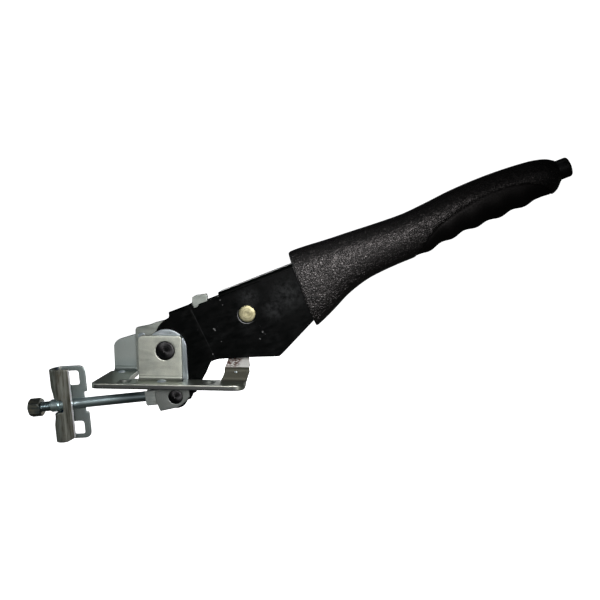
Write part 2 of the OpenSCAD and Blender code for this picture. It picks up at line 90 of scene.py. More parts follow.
# across and up from the pivot, millimetres
PAWL_PIN = (61.9, 28.2)
CLEVIS_PIN = (6.1, -36.8)
PIVOT_PIN_R, BUSH_R, PAWL_PIN_R, CLEVIS_PIN_R, BOLT_R = 7.25, 9.25, 4.5, 5.5, 4.25

# millimetres in a part's own frame to metres in the row frame
PIVOT_FRAME = Matrix.Translation(PIVOT) @ Matrix.Scale(MM, 4)
LEVER_FRAME = PIVOT_FRAME @ Matrix.Rotation(-LEVER_ANGLE, 4, "Y")


def pin_frame(pin):
    return PIVOT_FRAME @ Matrix.Translation((pin[0], 0, pin[1]))


ROD_FRAME = pin_frame(CLEVIS_PIN) @ Matrix.Rotation(-ROD_TILT, 4, "Y")
EQUALIZER_FRAME = (ROD_FRAME @ Matrix.Translation((-93.3, 0, 0))
                   @ Matrix.Rotation(ROD_TILT - EQUALIZER_TILT, 4, "Y"))


def smoothstep(a, b, x):
    t = min(1.0, max(0.0, (x - a) / (b - a)))
    return t * t * (3 - 2 * t)


def curve_through(table, column):
    """A smooth curve through a table's rows: the value of column against column 0."""
    xs = [row[0] for row in table]
    ys = [row[column] for row in table]
    n = len(xs)
    slopes = []
    for i in range(n):
        lo, hi = max(0, i - 1), min(n - 1, i + 1)
        slopes.append((ys[hi] - ys[lo]) / (xs[hi] - xs[lo]))

    def value(x):
        x = min(xs[-1], max(xs[0], x))
        i = max(0, min(n - 2, sum(1 for k in xs if k <= x) - 1))
        h = xs[i + 1] - xs[i]
        t = (x - xs[i]) / h
        return ((2 * t**3 - 3 * t**2 + 1) * ys[i] + (t**3 - 2 * t**2 + t) * h * slopes[i]
                + (-2 * t**3 + 3 * t**2) * ys[i + 1] + (t**3 - t**2) * h * slopes[i + 1])
    return value


# -------- meshes

def circle(count):
    """Cosine and sine at even steps round a circle."""
    turns = [2 * math.pi * i / count for i in range(count)]
    return [(math.cos(a), math.sin(a)) for a in turns]


def new_object(name, data):
    obj = bpy.data.objects.new(name, data)
    bpy.context.scene.collection.objects.link(obj)
    return obj


def add_mesh(name, points, faces, matrix, body, paint, node=None, angle=40):
    mesh = bpy.data.meshes.new(name)
    mesh.from_pydata([tuple(p) for p in points], [], faces)
    mesh.transform(matrix)
    return add_object(name, mesh, body, paint, node, angle)


def add_object(name, mesh, body, paint, node=None, angle=40, sheet=False):
    """A piece that rides on a body, smooth up to angle degrees, in place of a CAD node if given."""
    bm = bmesh.new()
    bm.from_mesh(mesh)
    bmesh.ops.recalc_face_normals(bm, faces=bm.faces)
    limit = math.radians(angle)
    for f in bm.faces:
        f.smooth = True
    for e in bm.edges:
        if len(e.link_faces) == 2 and e.calc_face_angle() > limit:
            e.smooth = False
    bm.to_mesh(mesh)
    bm.free()
    obj = new_object(name, mesh)
    if sheet:
        weighted = obj.modifiers.new("weighted", "WEIGHTED_NORMAL")
        weighted.keep_sharp = True
        weighted.weight = 90
    mesh.materials.append(paint)
    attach(obj, body)
    if node:
        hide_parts(node)
    return obj


def ring_faces(rings, around, closed=False):
    """Quads between rings of points, and a fan-free cap on each end unless the skin is closed."""
    faces = []
    for k in range(rings if closed else rings - 1):
        m = (k + 1) % rings
        for i in range(around):
            j = (i + 1) % around
            faces.append((k * around + i, k * around + j, m * around + j, m * around + i))
    if not closed:
        faces.append(tuple(reversed(range(around))))
        faces.append(tuple((rings - 1) * around + i for i in range(around)))
    return faces


def turned(name, profile, axis, matrix, body, paint, node):
    """A turned piece: profile is (distance along the axis, radius); axis is X or Y of the frame."""
    around = 64
    points = []
    for s, r in profile:
        for c, d in circle(around):
            points.append((s, r * c, r * d) if axis == "X" else (r * c, s, r * d))
    return add_mesh(name, points, ring_faces(len(profile), around), matrix, body, paint,
                    node, 30)


def arc(cx, cz, r, a0, a1, steps=24):
    """Points on an arc, angles in degrees."""
    out = []
    for k in range(steps + 1):
        a = math.radians(a0 + (a1 - a0) * k / steps)
        out.append((cx + r * math.cos(a), cz + r * math.sin(a)))
    return out


def hole(centre, r, steps=48):
    """A round hole's outline."""
    return arc(*centre, r, 360, 0, steps)[:-1]


def rounded(points, radius, steps=5):
    """The same closed outline with its corners rounded; radius is one number or one per corner."""
    n = len(points)
    out = []
    for i, p in enumerate(points):
        r = radius[i] if isinstance(radius, (list, tuple)) else radius
        p = Vector(p)
        a = Vector(points[i - 1]) - p
        b = Vector(points[(i + 1) % n]) - p
        half = a.angle(b) / 2
        nearly_straight = half > 1.55
        reach = 0.49 * min(a.length, b.length)
        cut = 0 if r <= 0 or nearly_straight else min(r / math.tan(half), reach)
        if cut < 1e-3:
            out.append(tuple(p))
            continue
        s, e = p + a.normalized() * cut, p + b.normalized() * cut
        for k in range(steps + 1):
            t = k / steps
            out.append(tuple(s * (1 - t)**2 + p * 2 * t * (1 - t) + e * t**2))
    return out


def plate_mesh(name, outline, holes, thickness, edge):
    """A flat plate in X-Y, centred on Z = 0, with rounded edges, as a closed mesh."""
    curve = bpy.data.curves.new(name, "CURVE")
    curve.dimensions = "2D"
    curve.fill_mode = "BOTH"
    curve.extrude = thickness / 2 - edge
    curve.bevel_depth = edge
    curve.bevel_resolution = 1
    curve.offset = -edge
    for loop in [outline, *holes]:
        spline = curve.splines.new("POLY")
        spline.points.add(len(loop) - 1)
        for q, p in zip(spline.points, loop):
            q.co = (p[0], p[1], 0, 1)
        spline.use_cyclic_u = True
    obj = new_object(name, curve)
    bpy.context.view_layer.update()
    mesh = bpy.data.meshes.new_from_object(obj)
    bpy.data.objects.remove(obj)
    bpy.data.curves.remove(curve)
    bm = bmesh.new()
    bm.from_mesh(mesh)
    bmesh.ops.remove_doubles(bm, verts=bm.verts, dist=1e-4)
    bm.to_mesh(mesh)
    bm.free()
    return mesh


def plate_y(name, outline, holes, y0, y1, edge):
    """A plate drawn in the frame's X-Z plane, between y0 and y1."""
    mesh = plate_mesh(name, outline, holes, y1 - y0, edge)
    mesh.transform(Matrix.Translation((0, (y0 + y1) / 2, 0))
                   @ Matrix.Rotation(math.radians(90), 4, "X"))
    return mesh


class Fold:
    """The path a flat sheet follows across its bends: straights and arcs in a plane."""

    def __init__(self, start, place, heading):
        # start is the pattern distance where the path begins, place its point in the plane
        self.parts = []
        self.s, self.at, self.heading = start, Vector(place), math.radians(heading)

    def straight(self, length):
        self.parts.append((self.s, self.s + length, self.at.copy(), self.heading, 0.0))
        self.at += length * Vector((math.cos(self.heading), math.sin(self.heading)))
        self.s += length
        return self

    def bend(self, degrees, radius):
        """Turns left by degrees (right when negative) about a centre at radius."""
        turn = math.radians(degrees)
        length = abs(turn) * radius
        self.parts.append((self.s, self.s + length, self.at.copy(), self.heading, turn / length))
        self.at, self.heading = self.along(self.s + length)
        self.s += length
        return self

    def along(self, s):
        part = self.parts[-1]
        for candidate in self.parts:
            if s <= candidate[1]:
                part = candidate
                break
        s0, _, at, heading, rate = part
        d = s - s0
        if rate == 0.0:
            return at + d * Vector((math.cos(heading), math.sin(heading))), heading
        h = heading + rate * d
        return at + Vector((math.sin(h) - math.sin(heading),
                            math.cos(heading) - math.cos(h))) / rate, h

    def place(self, s, n):
        """The point at distance s along the sheet and n to the left of its middle."""
        at, h = self.along(s)
        return at + n * Vector((-math.sin(h), math.cos(h)))

    def cuts(self, step=12):
        """Pattern distances where the sheet needs an edge so that its bends are round."""
        out = []
        for s0, s1, _, _, rate in self.parts:
            if rate:
                count = max(2, round(abs(rate * (s1 - s0)) / math.radians(step)))
                out += [s0 + (s1 - s0) * k / count for k in range(count + 1)]
        return out


def sliced(mesh, planes):
    """Cuts a mesh by planes (point, normal), keeping both sides."""
    bm = bmesh.new()
    bm.from_mesh(mesh)
    for point, normal in planes:
        bmesh.ops.bisect_plane(bm, geom=bm.verts[:] + bm.edges[:] + bm.faces[:],
                               plane_co=point, plane_no=normal)
    bm.to_mesh(mesh)
    bm.free()


# -------- materials

class Paint:
    """A node material built around one Principled shader."""

    def __init__(self, name):
        self.mat = bpy.data.materials.new(name)
        self.mat.use_nodes = True
        self.tree = self.mat.node_tree
        self.shader = self.tree.nodes["Principled BSDF"]
        self.place = self.add("ShaderNodeTexCoord").outputs["Object"]

    def add(self, kind, **props):
        node = self.tree.nodes.new(kind)
        for key, value in props.items():
            setattr(node, key, value)
        return node

    def feed(self, socket, value):
        if isinstance(value, bpy.types.NodeSocket):
            self.tree.links.new(value, socket)
        else:
            socket.default_value = value

    def node(self, kind, output, inputs, **props):
        """Adds a node, feeds its inputs by name or number and returns one of its outputs."""
        node = self.add(kind, **props)
        for key, value in inputs.items():
            self.feed(node.inputs[key], value)
        return node.outputs[output]

    def set(self, name, value):
        self.feed(self.shader.inputs[name], value)

    def turned_place(self, origin=(0, 0, 0), tilt=0.0, scale=(1, 1, 1)):
        """Row-frame place measured from origin, turned by tilt about Y, then stretched."""
        from_origin = self.vector("SUBTRACT", self.place, origin)
        turned_back = self.node("ShaderNodeVectorRotate", 0,
                                {"Vector": from_origin, "Angle": tilt}, rotation_type="Y_AXIS")
        return self.vector("MULTIPLY", turned_back, scale)

    def noise(self, scale, detail=4.0, rough=0.55, place=None, lump=0.0):
        return self.node("ShaderNodeTexNoise", "Fac", {
            "Vector": place or self.place, "Scale": scale, "Detail": detail,
            "Roughness": rough, "Distortion": lump})

    def voronoi(self, scale, feature="F1", place=None):
        return self.node("ShaderNodeTexVoronoi", "Distance",
                         {"Vector": place or self.place, "Scale": scale}, feature=feature)

    def ramp(self, value, low, high, to_low=0.0, to_high=1.0):
        return self.node("ShaderNodeMapRange", "Result", {
            "Value": value, "From Min": low, "From Max": high,
            "To Min": to_low, "To Max": to_high}, interpolation_type="SMOOTHSTEP")

    def math(self, operation, a, b=0.0):
        return self.node("ShaderNodeMath", 0, {0: a, 1: b}, operation=operation)

    def vector(self, operation, a, b=(0, 0, 0)):
        is_number = operation in ("DOT_PRODUCT", "DISTANCE", "LENGTH")
        return self.node("ShaderNodeVectorMath", "Value" if is_number else "Vector",
                         {0: a, 1: b}, operation=operation)

    def mix(self, fac, a, b, kind="MIX"):
        """Two colours mixed."""
        return self.node("ShaderNodeMix", 2, {"Factor": fac, 6: a, 7: b}, data_type="RGBA",
                         blend_type=kind)

    def blend(self, fac, a, b):
        """Two numbers mixed."""
        return self.node("ShaderNodeMix", 0, {"Factor": fac, 2: a, 3: b}, data_type="FLOAT")

    def edges(self, radius):
        """1 on the rounded edges of the piece and 0 on its flats, and the softened normal."""
        soft = self.node("ShaderNodeBevel", 0, {"Radius": radius}, samples=4)
        flat = self.add("ShaderNodeNewGeometry").outputs["Normal"]
        return self.ramp(self.vector("DOT_PRODUCT", soft, flat), 0.995, 0.80), soft

    def axis(self, index, place=None):
        """One coordinate of a place, by default of the row frame."""
        return self.node("ShaderNodeSeparateXYZ", index, {0: place or self.place})

    def within(self, index, low, high, soft, place=None):
        """1 where a coordinate lies between low and high, with soft limits."""
        value = self.axis(index, place)
        return self.math("MULTIPLY", self.ramp(value, low - soft, low + soft),
                         self.ramp(value, high + soft, high - soft))

    def box(self, low, high, soft, place=None):
        """1 inside a box."""
        inside = self.within(0, low[0], high[0], soft, place)
        for i in (1, 2):
            side = self.within(i, low[i], high[i], soft, place)
            inside = self.math("MULTIPLY", inside, side)
        return inside

    def near(self, point, radius, soft=0.3):
        """1 inside a ball about a point of the row frame, falling to 0 at radius."""
        return self.ramp(self.vector("DISTANCE", self.place, point), radius, radius * soft)

    def bump(self, height, distance, strength=1.0, normal=None):
        inputs = {"Strength": strength, "Distance": distance, "Height": height}
        if normal is not None:
            inputs["Normal"] = normal
        return self.node("ShaderNodeBump", "Normal", inputs)


def rgb(r, g, b):
    return (r, g, b, 1.0)


def sheet_steel(name, light, dark, stain, rough=(0.30, 0.52), tilt=0.0, stretch=(70, 200, 700),
                streak=0.35, edge=None, edge_radius=0.0006, stained=0.5, edge_from=-1.0, zones=(),
                zone_origin=None):
    """Zinc-plated rolled sheet: cloudy plating, faint rolling streaks, fine grain, worn edges.

    A zone's corners are in the row frame, or in the frame at zone_origin turned by tilt.
    """
    p = Paint(name)
    cloud = p.noise(55, 5, 0.6)
    streaks = p.noise(1.0, 4, 0.65, p.turned_place(tilt=tilt, scale=stretch))
    grain = p.noise(2600, 3, 0.7)
    tone = p.math("ADD", p.math("MULTIPLY", cloud, 1 - streak), p.math("MULTIPLY", streaks, streak))
    colour = p.mix(p.ramp(tone, 0.36, 0.62), dark, light)
    blot = p.ramp(p.noise(140, 6, 0.7, lump=0.6), 0.56, 0.74)
    colour = p.mix(p.math("MULTIPLY", blot, stained), colour, stain)
    r = p.ramp(p.math("ADD", p.math("MULTIPLY", streaks, 0.6), p.math("MULTIPLY", grain, 0.4)),
               0.3, 0.7, rough[0], rough[1])
    worn, soft = p.edges(edge_radius)
    # edges brighten only above the height edge_from
    worn = p.math("MULTIPLY", worn, p.ramp(p.axis(2), edge_from, edge_from + 0.001))
    colour = p.mix(p.math("MULTIPLY", worn, 0.75), colour, edge or light)
    metal = 1.0
    zone_place = p.turned_place(zone_origin, tilt) if zone_origin else None
    for low, high, soft_limit, shade, dull, metallic, ragged in zones:
        patchy = p.box(low, high, soft_limit, zone_place)
        if ragged:
            patchy = p.math("MULTIPLY", patchy, p.ramp(p.noise(480, 5, 0.7), 0.42, 0.52))
        colour = p.mix(patchy, colour, shade)
        r = p.blend(patchy, r, dull)
        metal = p.blend(patchy, metal, metallic)
    speck = p.ramp(grain, 0.35, 0.65, 0.82, 1.0)
    p.set("Base Color", p.mix(1.0, colour, speck, "MULTIPLY"))
    p.set("Metallic", metal)
    p.set("Roughness", r)
    low_bump = p.bump(streaks, 0.00001, 0.3, soft)
    p.set("Normal", p.bump(grain, 0.00003, 0.5, low_bump))
    return p.mat


def turned_steel(name, colour, shine, pin, rough, aniso):
    """A turned pin face: faint rings about the pin that glint across the face."""
    p = Paint(name)
    p.set("Metallic", 1.0)
    p.set("Anisotropic", aniso)
    off_centre = p.vector("SUBTRACT", p.place, pin_frame(pin).translation)
    radius = p.vector("LENGTH", p.vector("MULTIPLY", off_centre, (1, 0, 1)))
    rings = p.node("ShaderNodeTexNoise", "Fac", {"W": radius, "Scale": 1500, "Detail": 2},
                   noise_dimensions="1D")
    cloud = p.noise(260, 3, 0.5)
    tone = p.math("MULTIPLY", p.math("ADD", rings, cloud), 0.5)
    p.set("Base Color", p.mix(p.ramp(tone, 0.40, 0.60), colour, shine))
    p.set("Roughness", p.ramp(p.noise(1500, 3), 0.3, 0.7, rough * 0.85, rough * 1.15))
    tangent = p.add("ShaderNodeTangent", direction_type="RADIAL", axis="Y")
    p.set("Tangent", tangent.outputs[0])
    _, soft = p.edges(0.0004)
    p.set("Normal", p.bump(rings, 0.000008, 0.3, soft))
    return p.mat


def bar_steel(name, light, dark, tilt, rough=(0.18, 0.34), stretch=(30, 900, 900), fade=None):
    """Drawn bar with long streaks.

    A fade is painted shade: (X where the rod is still bright, X where the shade is full, share of
    the colour left at the shaded end, X of the thread, which is darkened as well).
    """
    p = Paint(name)
    p.set("Metallic", 1.0)
    streaks = p.noise(1.0, 2, 0.5, p.turned_place(tilt=tilt, scale=stretch))
    colour = p.mix(p.ramp(streaks, 0.35, 0.65), dark, light)
    if fade:
        bright, dull, share, thread_from = fade
        # painted shade: the rod darkens from its bright stretch towards the pivot, and its thread
        # is darkened as well
        painted_shade = p.ramp(p.axis(0), bright, dull)
        painted_shade = p.math("MAXIMUM", painted_shade, p.ramp(p.axis(0), thread_from + 0.002, thread_from))
        shaded_dark = tuple(c * share for c in dark[:3])
        colour = p.mix(painted_shade, colour, rgb(*shaded_dark))
    p.set("Base Color", colour)
    p.set("Roughness", p.ramp(streaks, 0.3, 0.7, rough[1], rough[0]))
    return p.mat


def moulded(name, colour, specular=0.5):
    """Plain moulded plastic: fine grain, faint cloudiness."""
    p = Paint(name)
    p.set("Specular IOR Level", specular)
    cloud = p.ramp(p.noise(90, 4), 0.3, 0.7)
    lighter = rgb(*(min(1.0, c * 1.35 + 0.004) for c in colour[:3]))
    p.set("Base Color", p.mix(cloud, colour, lighter))
    p.set("Roughness", p.ramp(p.noise(400, 5), 0.3, 0.7, 0.35, 0.5))
    p.set("Normal", p.bump(p.noise(3000, 2), 0.00002, 0.5))
    return p.mat


def zone(low, high, soft, shade, dull, metallic=1.0, ragged=False):
    """A box whose paint differs: its corners, soft edge, colour, roughness, metallic, ragged."""
    return low, high, soft, rgb(*shade), dull, metallic, ragged


BRACKET_ZONES = [
    # top of the base plate, darkened: painted shade of its upward face
    zone((-0.06, -0.0083, 0.003), (0.063, 0.05, 0.0052), 0.0008, (0.27, 0.29, 0.25), 0.42),
    # sheared front edge of the plate, darkened as painted shade: a lighter band above, a darker
    # band below, and darker again on its left half
    zone((-0.06, -0.01, -0.001), (0.063, -0.0086, 0.0033), 0.0003, (0.13, 0.132, 0.128), 0.42),
    zone((-0.06, -0.01, -0.001), (0.063, -0.008, 0.0009), 0.0003, (0.05, 0.054, 0.056), 0.5),
    zone((-0.06, -0.01, -0.001), (0, -0.0086, 0.003), 0.006, (0.055, 0.06, 0.058), 0.5),
    # foot and face of the stop, darkened: painted shade
    zone((0.041, -0.004, 0.004), (0.0625, 0.012, 0.0146), 0.0006, (0.072, 0.07, 0.056), 0.66),
    # walls and rims of the two bolt holes
    zone((-0.0368, -0.0048, -0.001), (-0.0272, 0.0048, 0.0042), 0.0002, (0.16, 0.17, 0.155), 0.6),
    zone((0.0272, -0.0048, -0.001), (0.0368, 0.0048, 0.0042), 0.0002, (0.16, 0.17, 0.155), 0.6),
    # rear ear, cooler and darker towards its foot
    zone((-0.053, 0.033, 0.006), (0.02, 0.042, 0.04), 0.003, (0.46, 0.5, 0.48), 0.4),
    zone((-0.053, 0.033, 0), (-0.02, 0.042, 0.012), 0.005, (0.34, 0.39, 0.385), 0.4),
    # bends at the foot of the front ear and of the rear ear, darkened: painted shade in the inside
    # corners
    zone((-0.024, -0.001, 0.004), (0.012, 0.01, 0.0074), 0.0006, (0.27, 0.28, 0.245), 0.45),
    zone((-0.053, 0.029, 0.004), (-0.03, 0.041, 0.0078), 0.0006, (0.17, 0.195, 0.185), 0.45),
    # top of the stop's shelf painted near white and matt, a painted reflection of the bright back,
    # with rusty scuffs on its left half
    zone((0.0425, 0.005, 0.0146), (0.063, 0.05, 0.03), 0.0003, (0.86, 0.84, 0.8), 0.75, 0),
    zone((0.0425, 0.005, 0.0146), (0.0535, 0.05, 0.03), 0.0015,
         (0.16, 0.08, 0.065), 0.7, 0.3, True),
]
EQUALIZER_ZONES = [
    # cut edge of the near flange, painted near white: a painted highlight
    zone((0.009, -0.009, -0.03), (0.011, -0.005, 0.03), 0.0004, (0.95, 0.93, 0.96), 0.35, 0.7),
    # far flange, bluer
    zone((-0.001, 0.004, -0.032), (0.02, 0.009, 0.032), 0.001, (0.36, 0.41, 0.4), 0.42),
    # inside of the bend, painted dark: painted shade in the recess
    zone((-0.005, -0.005, -0.032), (0.01, 0.005, 0.032), 0.0008, (0.05, 0.07, 0.1), 0.4),
]
ARM_ZONES = [
    # painted shade on the arm plate: darker beside the front ear, and below the plate darker and
    # greenish
    zone((0.0075, 0.008, -0.03), (0.02, 0.014, 0.03), 0.005, (0.31, 0.345, 0.37), 0.36),
    zone((-0.02, 0.008, -0.03), (0.02, 0.014, -0.0005), 0.001, (0.25, 0.262, 0.25), 0.44),
]
zinc_bracket = sheet_steel("zinc_bracket", rgb(0.61, 0.62, 0.54), rgb(0.50, 0.515, 0.46),
                           rgb(0.42, 0.40, 0.33), rough=(0.38, 0.46),
                           edge=rgb(0.80, 0.83, 0.82), stained=0.25, stretch=(160, 300, 420),
                           streak=0.12, edge_from=0.0022, zones=BRACKET_ZONES)
zinc_cream = sheet_steel("zinc_cream", rgb(0.34, 0.36, 0.33), rgb(0.26, 0.28, 0.26),
                         rgb(0.22, 0.21, 0.16), edge=rgb(0.62, 0.64, 0.62))
zinc_bright = sheet_steel("zinc_bright", rgb(0.60, 0.65, 0.69), rgb(0.50, 0.55, 0.59),
                          rgb(0.42, 0.45, 0.46), rough=(0.26, 0.4), stretch=(200, 200, 500),
                          stained=0.15, streak=0.1, edge=rgb(0.80, 0.86, 0.90),
                          zones=ARM_ZONES)
zinc_dull = sheet_steel("zinc_dull", rgb(0.37, 0.39, 0.37), rgb(0.27, 0.29, 0.28),
                        rgb(0.20, 0.19, 0.16), rough=(0.40, 0.55), edge=rgb(0.62, 0.66, 0.66))
zinc_banded = sheet_steel("zinc_banded", rgb(0.42, 0.42, 0.37), rgb(0.20, 0.19, 0.155),
                          rgb(0.22, 0.16, 0.10), tilt=EQUALIZER_TILT, stretch=(650, 300, 35),
                          streak=0.8, edge=rgb(0.40, 0.42, 0.40), zones=EQUALIZER_ZONES,
                          zone_origin=tuple(EQUALIZER_FRAME.translation))
STEEL_DARK, STEEL_GLINT = rgb(0.016, 0.015, 0.016), rgb(0.034, 0.033, 0.034)
BRASS_DARK, BRASS_GLINT = rgb(0.20, 0.18, 0.10), rgb(0.36, 0.33, 0.21)
dark_face = turned_steel("dark_turned", STEEL_DARK, STEEL_GLINT, (0, 0), 0.42, 0.7)
clevis_pin_face = turned_steel("clevis_pin_face", STEEL_DARK, STEEL_GLINT, CLEVIS_PIN, 0.42, 0.7)
brass = turned_steel("pin_brass", BRASS_DARK, BRASS_GLINT, PAWL_PIN, 0.48, 0.0)
# the rod's fade is painted shade beyond a bright stretch on its left part
rod_blue = bar_steel("rod_steel", rgb(0.62, 0.74, 0.75), rgb(0.46, 0.57, 0.60), ROD_TILT,
                     rough=(0.33, 0.35), stretch=(12, 200, 200),
                     fade=(-0.070, -0.030, 0.42, -0.099))
nut_dark = sheet_steel("nut_steel", rgb(0.17, 0.16, 0.12), rgb(0.06, 0.075, 0.075),
                       rgb(0.22, 0.15, 0.07), rough=(0.42, 0.56), edge=rgb(0.25, 0.27, 0.26),
                       edge_radius=0.0004)
plain_steel = bar_steel("plain_steel", rgb(0.5, 0.52, 0.53), rgb(0.25, 0.26, 0.27), LEVER_ANGLE)
bronze = sheet_steel("bush_bronze", rgb(0.55, 0.42, 0.22), rgb(0.33, 0.25, 0.13),
                     rgb(0.2, 0.15, 0.09))
nylon = moulded("nylon", rgb(0.72, 0.70, 0.62))
black_plastic = moulded("black_plastic", rgb(0.0008, 0.0010, 0.0012), specular=0.05)


# marks on the lever's near wall: X, Z in the row frame and size, metres
NEAR_WALL_Y = 0.0121
DINGS = [(0.0344, 0.0426, 0.0012), (0.0352, 0.0416, 0.0008), (0.0693, 0.0353, 0.0010),
         (0.0716, 0.0407, 0.0012), (0.0731, 0.0392, 0.0008), (0.0333, 0.0233, 0.0008),
         (0.0393, 0.0647, 0.0009), (0.0412, 0.0610, 0.0006), (0.0400, 0.0330, 0.0006),
         (0.0560, 0.0530, 0.0006)]
# dust smudges near the grip's mouth, which also carry a painted sheen
SMUDGES_AND_SHEEN = [(0.090, 0.069, 0.019), (0.080, 0.058, 0.013), (0.061, 0.066, 0.012)]
# the bright crescent, a painted reflection of the pawl pin's head, is what the first disc has
# outside the second
REFLECTED_CRESCENT = [(0.0590, 0.0535, 0.0069), (0.0595, 0.0542, 0.0070)]
# the lever's pressed step: its ends from the pivot, millimetres, and the direction across it
STEP_TOP, STEP_LOW = (19.4, 30.2), (36.2, -5.0)
STEP_ACROSS = math.radians(25.5)


def lever_paint():
    """Black paint on the lever: half gloss, clouded with dust and smudges of painted sheen, with
    dings down to the metal.
    """
    p = Paint("lever_paint")
    p.set("Specular IOR Level", 0.045)
    cloud = p.ramp(p.noise(60, 6, 0.66, lump=0.5), 0.47, 0.70)
    streak = p.noise(1.0, 5, 0.7, p.turned_place(tilt=LEVER_ANGLE, scale=(90, 400, 260)))
    dust_and_sheen = p.math("MULTIPLY", cloud, p.ramp(streak, 0.35, 0.7))
    dust_and_sheen = p.math("MULTIPLY", dust_and_sheen, 0.25)

    def mark(spot, soft):
        x, z, radius = spot
        return p.near((x, NEAR_WALL_Y, z), radius, soft)

    # the smudges lighten the paint: dust with a painted sheen
    for spot in SMUDGES_AND_SHEEN:
        patch = p.math("MULTIPLY", mark(spot, 0.1), p.ramp(p.noise(230, 7, 0.75), 0.36, 0.62))
        dust_and_sheen = p.math("MAXIMUM", dust_and_sheen, patch)
    colour = p.mix(dust_and_sheen, rgb(0.0004, 0.0006, 0.0006), rgb(0.016, 0.0165, 0.017))
    speck = p.ramp(p.voronoi(520), 0.075, 0.03)
    chips_and_reflection = p.math("MULTIPLY", speck, p.ramp(p.noise(90, 3), 0.60, 0.66))
    ragged = p.noise(1100, 4, 0.7)
    for spot in DINGS:
        ding = p.math("MULTIPLY", mark(spot, 0.2), p.ramp(ragged, 0.42, 0.56))
        chips_and_reflection = p.math("MAXIMUM", chips_and_reflection, ding)
    # a bright crescent under the pawl pin's head: a painted reflection of the head on the paint
    reflected_crescent = p.math("MULTIPLY", mark(REFLECTED_CRESCENT[0], 0.95),
                      p.ramp(mark(REFLECTED_CRESCENT[1], 0.95), 0.9, 0.1))
    chips_and_reflection = p.math("MAXIMUM", chips_and_reflection, p.math("MULTIPLY", reflected_crescent, p.ramp(ragged, 0.36, 0.50)))
    colour = p.mix(p.math("MULTIPLY", chips_and_reflection, 0.8), colour, rgb(0.20, 0.20, 0.20))
    # the pressed step across the wall gets a faint grey line: a painted highlight along its edge
    step_top = PIVOT_FRAME @ Vector((STEP_TOP[0], 0, STEP_TOP[1]))
    step = p.turned_place(step_top, STEP_ACROSS)
    line = p.math("MULTIPLY", p.within(0, -0.0002, 0.0002, 0.0003, step),
                  p.within(2, -0.040, 0.002, 0.004, step))
    colour = p.mix(p.math("MULTIPLY", line, p.ramp(p.noise(150, 3), 0.35, 0.6)), colour,
                   rgb(0.012, 0.0125, 0.013))
    worn, soft = p.edges(0.0005)
    scuff = p.math("MULTIPLY", worn, p.ramp(p.noise(260, 5, 0.7), 0.50, 0.66))
    colour = p.mix(p.math("MULTIPLY", scuff, 0.5), colour, rgb(0.05, 0.05, 0.05))
    p.set("Base Color", colour)
    p.set("Roughness", p.ramp(streak, 0.3, 0.7, 0.28, 0.46))
    dented = p.bump(p.noise(160, 4, 0.6), 0.00020, 0.35, soft)
    p.set("Normal", p.bump(p.noise(1800, 3), 0.00003, 0.4, dented))
    return p.mat


def grip_leather():
    """Leather-grained skin. The vertex colour layer 'panel' is 1 on the smooth finger panel."""
    p = Paint("grip_leather")
    panel = p.add("ShaderNodeVertexColor", layer_name="panel").outputs["Color"]
    warp = p.node("ShaderNodeTexNoise", "Color", {"Vector": p.place, "Scale": 500})
    bent = p.node("ShaderNodeVectorMath", "Vector",
                  {0: warp, 1: (0.0007, 0.0007, 0.0007), 2: p.place}, operation="MULTIPLY_ADD")
    dome = p.ramp(p.voronoi(620, "F1", bent), 0.75, 0.0)
    groove = p.ramp(p.voronoi(620, "DISTANCE_TO_EDGE", bent), 0.0, 0.16)
    wrinkle = p.ramp(p.voronoi(240, "DISTANCE_TO_EDGE", bent), 0.0, 0.10)
    grain = p.math("MULTIPLY", p.math("MULTIPLY", p.math("ADD", dome, groove), 0.5), wrinkle)
    flat = p.math("SUBTRACT", 1.0, panel)
    height = p.math("MULTIPLY", grain, p.math("ADD", p.math("MULTIPLY", flat, 0.9), 0.1))
    cloud = p.ramp(p.noise(38, 4), 0.3, 0.7)
    colour = p.mix(cloud, rgb(0.0010, 0.0010, 0.0010), rgb(0.0020, 0.0018, 0.0018))
    colour = p.mix(p.math("MULTIPLY", grain, 0.5), colour, rgb(0.0035, 0.0031, 0.0030))
    p.set("Base Color", colour)
    # painted sheen: strong towards the mouth, weak towards the button
    painted_sheen = p.ramp(p.axis(0), 0.25, 0.11, 0.09, 0.52)
    # and weaker along its top: painted shade
    upward = p.axis(2, p.add("ShaderNodeNewGeometry").outputs["Normal"])
    painted_sheen = p.math("MULTIPLY", painted_sheen, p.ramp(upward, 0.25, 0.75, 1.0, 0.45))
    p.set("Specular IOR Level", p.math("MULTIPLY", painted_sheen, p.blend(panel, 1.0, 0.35)))
    p.set("Specular Tint", rgb(1.0, 0.93, 0.92))
    rough = p.ramp(p.noise(900, 4), 0.3, 0.7, 0.30, 0.46)
    p.set("Roughness", p.math("ADD", rough, p.math("MULTIPLY", panel, 0.12)))
    p.set("Normal", p.bump(height, 0.00032, 0.95))
    return p.mat


lever_black = lever_paint()
leather = grip_leather()

# the nodes that are shown as the CAD made them; every other node has a piece in its place
MATERIAL_OF = {
    "ratchet_sector": zinc_cream, "sector_rivets": zinc_bright, "pivot_pin_clip": dark_face,
    "pawl_pin_clip": dark_face, "clevis_pin_clip": dark_face, "pivot_bushes": bronze,
    "lever_tube": plain_steel, "button_guide": black_plastic, "rod_guide": nylon,
    "spring_seat": plain_steel, "pawl": plain_steel, "push_rod": plain_steel,
    "link_pin": plain_steel, "rod_collar": plain_steel, "clevis": zinc_dull,
    "clevis_nut": nut_dark, "seat_sleeve": rod_blue, "adjuster_nut": nut_dark,
}
for node_name, material in MATERIAL_OF.items():
    data = NODES[node_name].data
    data.materials.clear()
    data.materials.append(material)


# -------- grip

